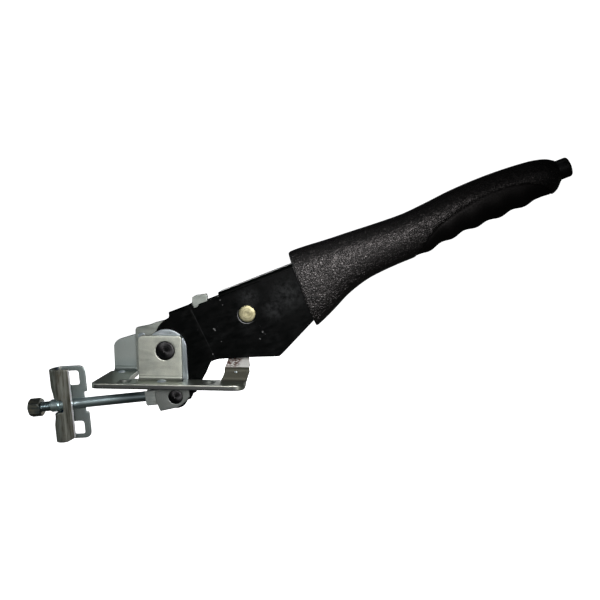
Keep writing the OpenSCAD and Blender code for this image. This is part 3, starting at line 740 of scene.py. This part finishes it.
# distance along the lever, top, bottom and half width, millimetres
GRIP = [
    (112.8, 34.9, -25.0, 15.6), (120, 35.0, -22.2, 15.9), (130, 34.4, -17.6, 15.9),
    (144, 33.4, -10.8, 15.7), (160, 32.6, -5.8, 15.5), (174, 31.8, -3.9, 15.4),
    (188, 31.1, -3.1, 15.3), (203, 30.8, -2.6, 15.4), (221, 32.2, -0.1, 15.7),
    (240, 34.1, 2.1, 16.0), (261, 34.9, 2.9, 16.1), (281, 34.5, 4.0, 15.8),
    (300, 33.0, 4.9, 14.9), (308, 31.4, 4.6, 13.8), (312.4, 29.9, 6.4, 12.2),
    (315.4, 28.2, 9.4, 10.4), (317.2, 26.9, 11.6, 9.0),
]
# the crease over the finger panel
CREASE = [
    (198, -6), (203, 0.5), (209.2, 5.1), (214.9, 9.1), (224.6, 14.2), (228, 15.2), (242, 19.0),
    (256, 21.3), (273.7, 22.2), (287, 20.2), (295.6, 16.9), (304, 11), (308, 4),
]
WAVE_FROM, WAVE_PITCH, WAVE_COUNT, WAVE_DEPTH = 202.8, 18.6, 5, 1.6
GRIP_FROM, GRIP_TO, POCKET_TO, TUBE_TO = 112.8, 317.2, 152.0, 313.5
TUBE_V, TUBE_R, BUTTON_R = 19.0, 9.6, 7.2
GRIP_AROUND = 144
TUBE_FRAME = LEVER_FRAME @ Matrix.Translation((0, 0, TUBE_V))


def grip_skin():
    top, low, half = (curve_through(GRIP, c) for c in (1, 2, 3))
    crease = curve_through(CREASE, 1)
    wave_to = WAVE_FROM + WAVE_COUNT * WAVE_PITCH
    points, panel = [], []

    def power(x, e):
        return math.copysign(abs(x)**e, x)

    def roundness(u):
        table = [(112, 2.75), (160, 2.3), (300, 2.2), (317.3, 2.0)]
        for (a, x), (b, y) in zip(table, table[1:]):
            if u <= b:
                return x + (y - x) * (u - a) / (b - a)
        return 2.0

    def wave(u):
        if not WAVE_FROM < u < wave_to:
            return 0.0
        return WAVE_DEPTH * (1 - math.cos(2 * math.pi * (u - WAVE_FROM) / WAVE_PITCH)) / 2

    stations = [GRIP_FROM + 0.05]
    while stations[-1] < 308:
        stations.append(stations[-1] + 0.9)
    stations += [309 + 0.45 * k for k in range(18)]
    stations = [s for s in stations if s < GRIP_TO] + [GRIP_TO]
    for u in stations:
        t, b, h = top(u), low(u), half(u)
        lip = 0.5 * (1 - smoothstep(GRIP_FROM, GRIP_FROM + 1.2, u))
        mid, tall = (t + b) / 2, (t - b) / 2
        p = 2 / roundness(u)
        fold = crease(u) if CREASE[0][0] <= u <= CREASE[-1][0] else -99.0
        for across, up in circle(GRIP_AROUND):
            y, z = h * power(across, p), tall * power(up, p)
            v = mid + z
            inside = smoothstep(-0.6, 0.6, fold - v)
            groove = math.exp(-((v - fold) / 0.9)**2)
            down = smoothstep(0.05, -1.0, z / tall)
            out = wave(u) * down - 0.55 * inside - 0.35 * groove - lip
            n = Vector((y / (h * h), z / (tall * tall))).normalized()
            points.append((u, y + n.x * out, v + n.y * out))
            panel.append(inside)

    # the button's bore, the room for the tube, and the open pocket at the mouth
    bores = [(GRIP_TO, BUTTON_R + 0.8), (GRIP_TO - 0.5, BUTTON_R + 0.3),
             (TUBE_TO, BUTTON_R + 0.3), (TUBE_TO, TUBE_R + 0.1), (POCKET_TO, TUBE_R + 0.1)]
    inner = [(u, TUBE_V + r, TUBE_V - r, r, 1.0) for u, r in bores]
    inner += [(POCKET_TO, 29.2, -1.2, 12.6, 0.4), (134, 29.8, -9.6, 12.8, 0.4),
              (GRIP_FROM + 0.05, 30.4, -21.4, 13, 0.4)]
    for u, t, b, h, p in inner:
        for across, up in circle(GRIP_AROUND):
            points.append((u, h * power(across, p), (t + b) / 2 + (t - b) / 2 * power(up, p)))
            panel.append(0.0)
    rings = len(stations) + len(inner)
    obj = add_mesh("grip_skin", points, ring_faces(rings, GRIP_AROUND, closed=True),
                   LEVER_FRAME, "lever", leather, "grip", 50)
    layer = obj.data.color_attributes.new("panel", "FLOAT_COLOR", "POINT")
    for item, value in zip(layer.data, panel):
        item.color = (value, value, value, 1)


grip_skin()


# -------- button

def push_button():
    r, collar, rim, dome = BUTTON_R, 7.9, 1.9, 1.05
    foot, shoulder, rim_from = 295, 298.5, 324.6
    profile = [(foot, 0.01), (foot, 2.5), (foot, collar - 0.2), (foot + 0.2, collar),
               (shoulder - 0.2, collar), (shoulder, collar - 0.2), (shoulder, r), (rim_from, r)]
    profile += [(rim_from + x, r + y) for x, y in arc(0, -rim, rim, 90, 0, 8)[1:]]
    for k in range(1, 7):
        t = k / 6
        profile.append((rim_from + rim + dome * (1 - (1 - t)**2), (r - rim) * (1 - t) + 0.01 * t))
    turned("button_cap", profile, "X", TUBE_FRAME, "button", black_plastic,
           "button")


push_button()


# -------- return spring

def coil_spring():
    """The spring behind the button, of round wire."""
    first, last, coils, mean, wire = 208.9, 247.1, 9, 5.6, 0.7
    around, rings = 10, 361
    points = []
    for k in range(rings):
        turn = 2 * math.pi * coils * k / (rings - 1)
        u = first + (last - first) * k / (rings - 1)
        for c, d in circle(around):
            r = mean + wire * c
            points.append((u + wire * d, r * math.cos(turn), r * math.sin(turn)))
    obj = add_mesh("spring_coil", points, ring_faces(rings, around), TUBE_FRAME, "lever",
                   plain_steel, "return_spring")
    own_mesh(obj)


coil_spring()


# -------- pull rod

def threaded_rod():
    """8 mm rod with a real thread at its free end and a plain shank."""
    pitch, major, minor = 1.25, 4.0, 3.38
    start, thread_end, stop = -121.95, -96.0, -9.0
    around, step = 40, pitch / 8
    points, rings = [], 0
    s = start
    while s < thread_end:
        fade = min(smoothstep(start, start + 1.3, s), smoothstep(thread_end, thread_end - 3, s))
        for i, (c, d) in enumerate(circle(around)):
            phase = (s / pitch - i / around) % 1.0
            tooth = 1 - abs(2 * phase - 1)
            crest = min(1.0, tooth * 1.25)
            r = major - (major - minor) * (1 - crest) * fade
            r -= 0.7 * (1 - smoothstep(start, start + 1.0, s))
            points.append((s, r * c, r * d))
        rings += 1
        s += step
    for s in (thread_end, -60.0, -30.0, stop):
        points += [(s, major * c, major * d) for c, d in circle(around)]
        rings += 1
    add_mesh("threaded_rod", points, ring_faces(rings, around), ROD_FRAME, "rod",
             rod_blue, "pull_rod", 60)


threaded_rod()


# -------- pins

def clipped_pin(node, wall, head, shank, groove, tip, frame, body, paint):
    """A pin along Y: its head outside the front wall, and a clip's groove behind the rear wall.

    Head points and the groove's two ends are distances outside the wall; shank and groove each
    end with a radius.
    """
    groove_from, groove_to, groove_r = groove
    profile = [(-wall - s, r) for s, r in head]
    profile += [(wall + s, r) for s, r in (
        (groove_from, shank), (groove_from, groove_r), (groove_to, groove_r), (groove_to, shank),
        (tip - 0.3, shank), (tip, shank - 0.3), (tip, 0.01))]
    turned(node + "_turned", profile, "Y", frame, body, paint, node)


clipped_pin("pawl_pin", 10.9,
            [(1.5, 0.01), (1.53, 0.9), (1.58, 1.6), (1.6, 2.4), (1.6, 5.5), (1.45, 6.05),
             (1.1, 6.35), (0.8, 6.4), (0.02, 6.4), (0.02, PAWL_PIN_R)],
            PAWL_PIN_R, (0.4, 1.4, 3.6), 2.6, pin_frame(PAWL_PIN), "lever", brass)
clipped_pin("pivot_pin", 17.5,
            [(0.55, 0.01), (0.55, 0.5), (0.85, 0.9), (1.0, 6.45), (0.8, 6.95),
             (0.2, PIVOT_PIN_R)],
            PIVOT_PIN_R, (0.6, 1.8, 6.15), 3.4, PIVOT_FRAME, "base", dark_face)
clipped_pin("clevis_pin", 12.9,
            [(0.05, 0.01), (0.05, 0.6), (0.25, 0.9), (0.25, 5.0), (0.05, 5.38),
             (-0.3, CLEVIS_PIN_R)],
            CLEVIS_PIN_R, (0.3, 1.4, 4.6), 2.6, pin_frame(CLEVIS_PIN), "lever",
            clevis_pin_face)


# -------- arm plates

def arm_plates():
    outline = (arc(0, 0, 15.7, 8, 191, 40)
               + [(-12.8, -13.5), (-10, -24), (-9.6, -36), (-8.6, -41.4), (-6.3, -47.6),
                  (-5.2, -48.2), (2.4, -46.4), (7, -45.3), (10.8, -43), (14.3, -40),
                  (17.2, -36.2), (16.6, -30), (16.3, -19.3)])
    holes = [hole((0, 0), BUSH_R), hole(CLEVIS_PIN, CLEVIS_PIN_R, 36)]
    for name, y0, y1 in (("arm_plate_front", -12.9, -10.9), ("arm_plate_rear", 10.9, 12.9)):
        mesh = plate_y(name + "_sheet", outline, holes, y0, y1, 0.45)
        mesh.transform(PIVOT_FRAME)
        add_object(name + "_sheet", mesh, "lever", zinc_bright, name, 35, True)


arm_plates()


# -------- lever channel

def lever_shell():
    """The pressed channel: two side walls and the folded top between them, one bent sheet."""
    sheet, radius, wall_mean = 2.0, 2.0, 9.9
    fold_v, web_from, web_to, step_depth = 23.2, 52.6, 115.0, 0.28
    web = 2 * (wall_mean - radius)
    # the pattern's second coordinate is v on the front wall and runs on over the top
    path = Fold(-60.0, (-wall_mean, -60.0), 90).straight(60.0 + fold_v)
    path.bend(-90, radius).straight(web).bend(-90, radius).straight(90)
    total = path.parts[3][1] + fold_v  # where v is 0 again on the rear wall
    foot = [(84.5, -4.6), (62.1, -5.5), (39.9, -7.3), (37.2, -7.9), (34.3, -9.1), (31.8, -11.3),
            (30, -13.9), (28.3, -17.4), (26.2, -22.3), (21.1, -31.4), (17.8, -38.4),
            (15.2, -39.5)]
    upper = [(-7.8, 14.4), (-6.6, 17.2), (-4.6, 19.8), (-1.6, 22.4)]
    c, d = math.cos(LEVER_ANGLE), math.sin(LEVER_ANGLE)

    def to_lever(points):
        return [(x * c + z * d, -x * d + z * c) for x, z in points]

    # from the grip's side of the top fold, round the wall, back to the top fold
    def wall(shoulder):
        return ([(web_to, fold_v), (web_to + 0.5, 22.9), (150, 22.9), (150, 3), (140, -2),
                 (128, -9.6), (112.5, -19.3), (81.5, -34.3), (79, -35.5)]
                + to_lever(foot + arc(*CLEVIS_PIN, 9.4, -22, -180, 20)
                           + [(-7.9, -24), (-15.4, -2)]
                           + arc(0, 0, 15.5, 186, 137, 10) + upper + shoulder)
                + [(31.1, 25.5), (31.4, 21.8), (34.5, 21.8), (36, 23.3), (50, 23.3),
                   (web_from, 23.0)])

    # the rear wall's shoulder is cut back a little
    rear = [(u, total - v) for u, v in reversed(wall([(3.0, 23.9), (4.5, 25.2), (12.5, 31.0)]))]
    outline = wall([(1.7, 24.4), (2.1, 26), (1.6, 28.2)]) + rear
    holes = []
    for centre, r in (((0, 0), BUSH_R), (PAWL_PIN, PAWL_PIN_R), (CLEVIS_PIN, CLEVIS_PIN_R)):
        (u, v), = to_lever([centre])
        holes += [hole((u, v), r), hole((u, total - v), r)]
    mesh = plate_mesh("lever_shell", outline, holes, sheet, 0.35)
    step_top, step_low = (Vector(q) for q in to_lever([STEP_TOP, STEP_LOW]))
    line = step_low - step_top
    across = Vector((-line.y, line.x)).normalized()
    planes = [((0, s, 0), (0, 1, 0)) for s in path.cuts()]
    for side in (-0.5, 0.5):
        for sign in (1, -1):
            q = step_top + across * side
            planes.append(((q.x, q.y if sign > 0 else total - q.y, 0),
                           (across.x, sign * across.y, 0)))
    sliced(mesh, planes)
    for p in mesh.vertices:
        u, s, n = p.co
        v = s if s < total / 2 else total - s
        # the walls stand in a little on the pivot's side of the pressed step
        share = smoothstep(0.45, -0.45, (step_top - Vector((u, v))).dot(across))
        inward = -step_depth * share if s < fold_v or s > total - fold_v else 0.0
        y, z = path.place(s, n + inward)
        p.co = (u, y, z)
    mesh.transform(LEVER_FRAME)
    add_object("lever_shell", mesh, "lever", lever_black, "lever_channel", 35, True)


lever_shell()


# -------- bracket

def bracket():
    """The pressed base: plate, front ear, rear ear and stop, bent up from one sheet."""
    sheet, mean, low = 4.0, 5.0, -24.5
    left, right, front = -54, 61.3, -32
    ear_left, ear_right, ear_rise = -20.8, 12.7, 19.5  # the rise is from the pivot
    stop_left, stop_right, stop_slit = 45, 59.8, 42.3
    # pattern distances where the bends begin, and where the slits beside the bends end
    front_line, rear_line, slit, slit_end, slit_gap = -20.5, 10.5, -20.6, -13.5, 0.7
    # past this distance the sheet follows the rear ear; the front ear ends before it, but the
    # last 1.8 mm of the stop's shelf doesn't and hangs down behind it, a fault that was kept
    rear_from = 19.0
    quarter = math.pi / 2 * mean
    start = -40.0

    def path_to(line):
        return Fold(start, (start, low), 0).straight(line - start).bend(90, mean)

    ear = path_to(front_line).straight(50)
    rear = path_to(rear_line).straight(60)
    stop = path_to(front_line).straight(4.1).bend(-80.4, 2.0).straight(40)
    shelf_end = stop.parts[3][1] + 26.5
    front_pivot, rear_pivot = (line + quarter + ear_rise for line in (front_line, rear_line))
    top = front_pivot + 11.4
    corners = [
        # plate and stop
        ((left, front), 5), ((right, front), 12), ((right, -16), 5), ((64, -8.5), 5),
        ((stop_right, shelf_end), 1.5), ((stop_left, shelf_end), 1.5), ((stop_left, -9), 5),
        ((stop_slit, -15.5), 3), ((stop_slit, slit), 0.3), ((stop_slit - slit_gap, slit), 0.3),
        ((stop_slit - slit_gap, slit_end), 1), ((ear_right + slit_gap, slit_end), 1),
        ((ear_right + slit_gap, slit), 0.3), ((ear_right, slit), 0.3),
        # front ear
        ((ear_right, top), 2.2), ((ear_left, top), 4.5), ((ear_left, slit), 0.3),
        ((ear_left - slit_gap, slit), 0.3), ((ear_left - slit_gap, slit_end), 1),
        # rear ear
        ((-29.3, slit_end), 2), ((-29.3, rear_pivot - 18.5), 2), ((-12, rear_pivot - 17.2), 4)]
    corners += [((x, rear_pivot + z), 0) for x, z in arc(0, 0, 15.5, -110, 136, 44)]
    corners += [((x, rear_pivot + z), 0) for x, z in
                ((-12.5, 10.4), (-21, 9.0), (-30.5, 6.9), (-37.5, 4.8), (-44.3, 2.6),
                 (-46.4, 1.4), (-48, -0.4), (-48.8, -2.6))]
    corners += [((-48.8, 12.0), 1), ((-50.6, 11.0), 2), ((-51.2, 6.0), 2)]
    outline = rounded([p for p, _ in corners], [r for _, r in corners])
    holes = [hole((0, rear_pivot), PIVOT_PIN_R), hole((0, front_pivot), PIVOT_PIN_R),
             hole((-30, -23), BOLT_R, 32), hole((34, -23), BOLT_R, 32)]
    mesh = plate_mesh("bracket_sheet", outline, holes, sheet, 0.5)
    lines = sorted(set(ear.cuts(9) + rear.cuts(9) + stop.cuts(9)))
    sliced(mesh, [((0, s, 0), (0, 1, 0)) for s in lines])
    for v in mesh.vertices:
        x, s, n = v.co
        if s > rear_from or x < ear_left - slit_gap / 2:
            path = rear
        elif x > stop_slit - slit_gap / 2:
            path = stop
        elif x < ear_right + slit_gap / 2:
            path = ear
        else:
            v.co = (x, s, low + n)
            continue
        y, z = path.place(s, n)
        v.co = (x, y, z)
    mesh.transform(PIVOT_FRAME)
    add_object("bracket_sheet", mesh, "base", zinc_bracket, "base_bracket", 35, True)


bracket()


def pressed_bead(name, place, size, lean):
    """A small bead pressed into the sheet, leaning towards the front by lean degrees."""
    around, rings = 28, 7
    points = []
    for k in range(rings):
        a = math.pi / 2 * k / (rings - 1)
        r, h = max(0.02, math.cos(a)), math.sin(a)
        points += [(size[0] * r * c, size[1] * r * d, size[2] * h) for c, d in circle(around)]
    matrix = (Matrix.Translation(place) @ Matrix.Rotation(math.radians(lean), 4, "X")
              @ Matrix.Scale(MM, 4))
    # the bead takes the brighter arm-plate zinc: a painted highlight on the dimple
    add_mesh(name, points, ring_faces(rings, around), matrix, "base", zinc_bright)


pressed_bead("front_bead", (-0.0038, 0.0004, 0.0040), (3.6, 2.4, 1.3), 20)
pressed_bead("rear_bead", (-0.0428, 0.0298, 0.0040), (3.0, 1.8, 1.1), 20)
pressed_bead("stop_bead", (0.0518, 0.0057, 0.0111), (1.3, 0.8, 0.5), 80)


# -------- equalizer

def equalizer():
    """The U-bent bar, cut flat with its eyes and its slot for the rod, then bent."""
    sheet, out = 2.4, 8.0
    mean = out - sheet / 2
    bend = math.pi * mean
    path = Fold(-20.0, (20.0, -mean), 180).straight(20.0).bend(-180, mean).straight(30)
    # flat pattern: s runs from the near flange over the bend to the far flange
    near, far = -9.5, bend + 17.6
    top, low = 29.5, -28.8

    def eye(x0, x1, z0, z1, r=2.4):
        pts = [(bend + x0, z0), (bend + x1, z0), (bend + x1, z1), (bend + x0, z1)]
        return list(reversed(rounded(pts, r)))

    outline = rounded(
        [(near, -25.2), (-3, -28.4), (0, low), (bend * 0.5, low - 0.6), (bend, low),
         (bend + 4, -29.72), (far, -29.72), (far, -8.4), (bend + 15.2, -8.4), (bend + 15.0, 8.2),
         (far, 8.2), (far, top), (bend + 4, top), (bend, top), (bend * 0.5, top - 0.4), (0, top),
         (near + 0.9, top), (near, 28.6)],
        [1.2, 2, 0, 0, 0, 0, 5.5, 5.0, 1.2, 1.2, 5.0, 5.5, 0, 0, 0, 0, 0.6, 0.6])
    slot_end = bend * 0.42 + 8.6
    # narrow in the near flange, wide enough in the bend for the seat to rock
    slot = list(reversed(rounded(
        [(-2.3, -4.9), (2, -4.9), (5, -6.2), (slot_end, -6.2), (slot_end, 6.2), (5, 6.2), (2, 4.9),
         (-2.3, 4.9)], [4.6, 1.5, 1.5, 5.6, 5.6, 1.5, 1.5, 4.6])))
    holes = [eye(3.6, 12.5, 13.8, 25.6), eye(3.6, 12.8, -26.4, -15.6), slot]
    mesh = plate_mesh("equalizer_sheet", outline, holes, sheet, 0.4)
    planes = [((s, 0, 0), (1, 0, 0)) for s in path.cuts(7)]
    planes += [((0, 3.1 * k, 0), (0, 1, 0)) for k in range(-9, 10)]
    sliced(mesh, planes)
    for v in mesh.vertices:
        s, t, n = v.co
        x, y = path.place(s, n)
        # the bend bulges a little towards both ends and is drawn in at the rod
        bulge = 1.3 * (smoothstep(8, 16, abs(t + 0.5)) - 0.72)
        if 0 < s < bend:
            x -= bulge * math.sin(s / mean)
        v.co = (x, y, t)
    mesh.transform(EQUALIZER_FRAME)
    add_object("equalizer_sheet", mesh, "equalizer", zinc_banded, "equalizer_bar", 35,
               True)


equalizer()


# -------- stage

FLOOR_Z = CAD_BOX[0].z - 0.12


def pale_floor():
    mesh = bpy.data.meshes.new("floor")
    size = 12.0
    mesh.from_pydata([(-size, -size, FLOOR_Z), (size, -size, FLOOR_Z), (size, size, FLOOR_Z),
                      (-size, size, FLOOR_Z)], [], [(0, 1, 2, 3)])
    floor = new_object("floor", mesh)
    p = Paint("floor_pale")
    p.set("Base Color", rgb(0.9, 0.9, 0.9))
    p.set("Roughness", 0.9)
    p.set("Emission Color", rgb(1, 1, 1))
    p.set("Emission Strength", 1.1)
    mesh.materials.append(p.mat)
    floor.visible_diffuse = False
    floor.visible_glossy = False


def studio_world():
    world = bpy.data.worlds.new("studio")
    bpy.context.scene.world = world
    world.use_nodes = True
    tree = world.node_tree
    tree.nodes.clear()
    out = tree.nodes.new("ShaderNodeOutputWorld")
    seen = tree.nodes.new("ShaderNodeBackground")
    seen.inputs["Color"].default_value = rgb(1, 1, 1)
    seen.inputs["Strength"].default_value = 1.1
    room = tree.nodes.new("ShaderNodeBackground")
    room.inputs["Strength"].default_value = 1.0
    place = tree.nodes.new("ShaderNodeTexCoord")
    split = tree.nodes.new("ShaderNodeSeparateXYZ")
    ramp = tree.nodes.new("ShaderNodeValToRGB")
    lift = tree.nodes.new("ShaderNodeMapRange")
    tree.links.new(place.outputs["Generated"], split.inputs[0])
    tree.links.new(split.outputs["Z"], lift.inputs["Value"])
    lift.inputs["From Min"].default_value = -1.0
    lift.inputs["From Max"].default_value = 1.0
    tree.links.new(lift.outputs[0], ramp.inputs["Fac"])
    stops = [(0.0, rgb(0.03, 0.03, 0.027)), (0.45, rgb(0.04, 0.045, 0.04)),
             (0.52, rgb(0.12, 0.125, 0.12)), (0.58, rgb(0.10, 0.11, 0.11)),
             (0.66, rgb(0.03, 0.033, 0.035)), (1.0, rgb(0.015, 0.017, 0.02))]
    elements = ramp.color_ramp.elements
    while len(elements) < len(stops):
        elements.new(0.5)
    for element, (at, colour) in zip(elements, stops):
        element.position = at
        element.color = colour
    tree.links.new(ramp.outputs[0], room.inputs["Color"])
    path = tree.nodes.new("ShaderNodeLightPath")
    blend = tree.nodes.new("ShaderNodeMixShader")
    tree.links.new(path.outputs["Is Camera Ray"], blend.inputs[0])
    tree.links.new(room.outputs[0], blend.inputs[1])
    tree.links.new(seen.outputs[0], blend.inputs[2])
    tree.links.new(blend.outputs[0], out.inputs["Surface"])


def face(obj, place, direction):
    obj.location = place
    obj.rotation_euler = direction.to_track_quat("-Z", "Y").to_euler()


def lamp(kind, name, place, aim, watts, colour):
    light = bpy.data.lights.new(name, kind)
    light.energy = watts
    light.color = colour
    obj = new_object(name, light)
    face(obj, place, Vector(aim) - Vector(place))
    return obj


def softbox(name, place, aim, size, watts, colour=(1, 1, 1)):
    obj = lamp("AREA", name, place, aim, watts, colour)
    obj.data.shape = "RECTANGLE"
    obj.data.size, obj.data.size_y = size
    obj.visible_camera = False


def spot(name, place, aim, watts, cone, size, colour=(1, 1, 1)):
    """A round soft light whose beam fades out towards the edge of its cone."""
    light = lamp("SPOT", name, place, aim, watts, colour).data
    light.spot_size = math.radians(cone)
    light.spot_blend = 1.0
    light.shadow_soft_size = size


def add_camera():
    data = bpy.data.cameras.new("camera")
    data.lens = 48.0
    data.sensor_width = 36.0
    data.clip_start = 0.01
    aim, distance = Vector((0.0988, 0.023, 0.0638)), 0.608
    azimuth, elevation = math.radians(4), math.radians(8)
    back = Vector((math.sin(azimuth) * math.cos(elevation),
                   -math.cos(azimuth) * math.cos(elevation), math.sin(elevation)))
    camera = new_object("camera", data)
    face(camera, aim + distance * back, -back)
    bpy.context.scene.camera = camera


MIDDLE = (0.09, 0.02, 0.06)

pale_floor()
studio_world()
spot("key", (0.18, -0.78, 0.26), (0.0, 0.0, 0.04), 36, 56, 0.12)
# a glint along the rod's upper side
spot("glint", (-0.30, -0.55, 0.30), (-0.060, 0.023, -0.018), 0.8, 8, 0.03, (0.92, 0.98, 1.0))
softbox("ceiling", (0.0, 0.06, 0.9), (0.0, 0.02, 0.0), (0.9, 0.07), 0.6)
softbox("back", (0.15, 0.95, 0.02), MIDDLE, (0.7, 0.22), 4)
softbox("left", (-0.9, -0.30, 0.30), MIDDLE, (0.3, 0.6), 2.2, (0.80, 0.95, 1.0))
add_camera()
bpy.context.scene.view_settings.view_transform = "Standard"
